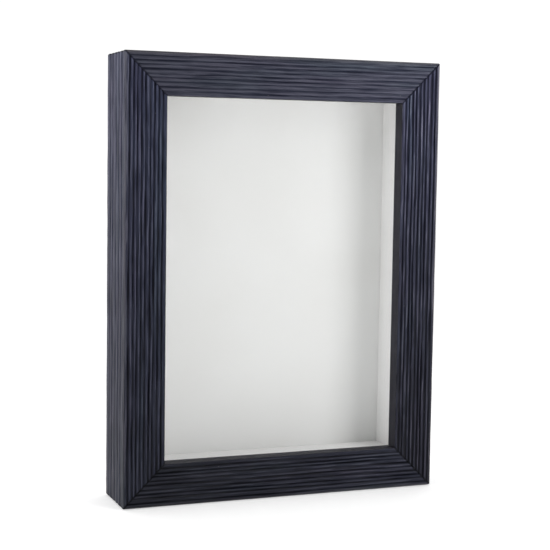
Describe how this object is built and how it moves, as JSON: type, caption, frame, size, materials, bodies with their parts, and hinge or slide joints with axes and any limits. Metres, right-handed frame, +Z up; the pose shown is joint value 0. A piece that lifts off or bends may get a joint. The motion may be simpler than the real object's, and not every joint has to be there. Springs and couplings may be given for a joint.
{
  "type": "shadow box",
  "caption": "Deep glazed shadow box with mitred reeded rails, white interior, rear board held by turn buttons, D-ring hangers; stands on its base or hangs.",
  "frame": {"origin": "middle of the underside of the bottom rail, in width and depth of the wooden frame", "axes": "+X to the right seen from the front, the glazed front faces -Y, +Z up"},
  "size_m": [0.271, 0.0593, 0.358],
  "materials": {
    "stained_wood": "satin, navy-black stain over combed grain",
    "clear_glass": "polished",
    "white_liner": "matte white paper face",
    "white_panel": "matte white paper face",
    "hardboard": "matte, smooth brown hardboard",
    "zinc_steel": "satin zinc plate",
    "nickel_wire": "polished nickel plate",
    "nail_steel": "plain steel",
    "soft_rubber": "matte"
  },
  "bodies": {
    "frame": {"rail_top": "stained_wood", "liner_top": "white_liner", "rail_right": "stained_wood", "liner_right": "white_liner", "rail_bottom": "stained_wood", "liner_bottom": "white_liner", "rail_left": "stained_wood", "liner_left": "white_liner", "glass_pane": "clear_glass", "backing_panel": "white_panel", "rear_board": "hardboard", "turn_screw_top": "zinc_steel", "turn_screw_bottom": "zinc_steel", "turn_screw_left_upper": "zinc_steel", "turn_screw_left_lower": "zinc_steel", "turn_screw_right_upper": "zinc_steel", "turn_screw_right_lower": "zinc_steel", "hanger_strap_left": "zinc_steel", "hanger_screw_left_upper": "zinc_steel", "hanger_screw_left_lower": "zinc_steel", "bumper_left": "soft_rubber", "hanger_strap_right": "zinc_steel", "hanger_screw_right_upper": "zinc_steel", "hanger_screw_right_lower": "zinc_steel", "bumper_right": "soft_rubber", "corner_nail_top_right_inner": "nail_steel", "corner_nail_top_right_outer": "nail_steel", "corner_nail_bottom_right_inner": "nail_steel", "corner_nail_bottom_right_outer": "nail_steel", "corner_nail_bottom_left_inner": "nail_steel", "corner_nail_bottom_left_outer": "nail_steel", "corner_nail_top_left_inner": "nail_steel", "corner_nail_top_left_outer": "nail_steel"},
    "turn_button_top": {"turn_button_top": "zinc_steel"},
    "turn_button_bottom": {"turn_button_bottom": "zinc_steel"},
    "turn_button_left_upper": {"turn_button_left_upper": "zinc_steel"},
    "turn_button_left_lower": {"turn_button_left_lower": "zinc_steel"},
    "turn_button_right_upper": {"turn_button_right_upper": "zinc_steel"},
    "turn_button_right_lower": {"turn_button_right_lower": "zinc_steel"},
    "hanger_ring_left": {"hanger_ring_left": "nickel_wire"},
    "hanger_ring_right": {"hanger_ring_right": "nickel_wire"}
  },
  "joints": [
    {"name": "turn_top", "type": "hinge", "parent": "frame", "child": "turn_button_top", "pos_m": [0, 0.0278, 0.336], "axis": [0, 1, 0], "continuous": true},
    {"name": "turn_bottom", "type": "hinge", "parent": "frame", "child": "turn_button_bottom", "pos_m": [0, 0.0278, 0.022], "axis": [0, 1, 0], "continuous": true},
    {"name": "turn_left_upper", "type": "hinge", "parent": "frame", "child": "turn_button_left_upper", "pos_m": [-0.1135, 0.0278, 0.23], "axis": [0, 1, 0], "continuous": true},
    {"name": "turn_left_lower", "type": "hinge", "parent": "frame", "child": "turn_button_left_lower", "pos_m": [-0.1135, 0.0278, 0.128], "axis": [0, 1, 0], "continuous": true},
    {"name": "turn_right_upper", "type": "hinge", "parent": "frame", "child": "turn_button_right_upper", "pos_m": [0.1135, 0.0278, 0.23], "axis": [0, 1, 0], "continuous": true},
    {"name": "turn_right_lower", "type": "hinge", "parent": "frame", "child": "turn_button_right_lower", "pos_m": [0.1135, 0.0278, 0.128], "axis": [0, 1, 0], "continuous": true},
    {"name": "swing_ring_left", "type": "hinge", "parent": "frame", "child": "hanger_ring_left", "pos_m": [-0.12075, 0.0294, 0.288], "axis": [1, 0, 0], "range_deg": [0, 180]},
    {"name": "swing_ring_right", "type": "hinge", "parent": "frame", "child": "hanger_ring_right", "pos_m": [0.12075, 0.0294, 0.288], "axis": [1, 0, 0], "range_deg": [0, 180]}
  ]
}
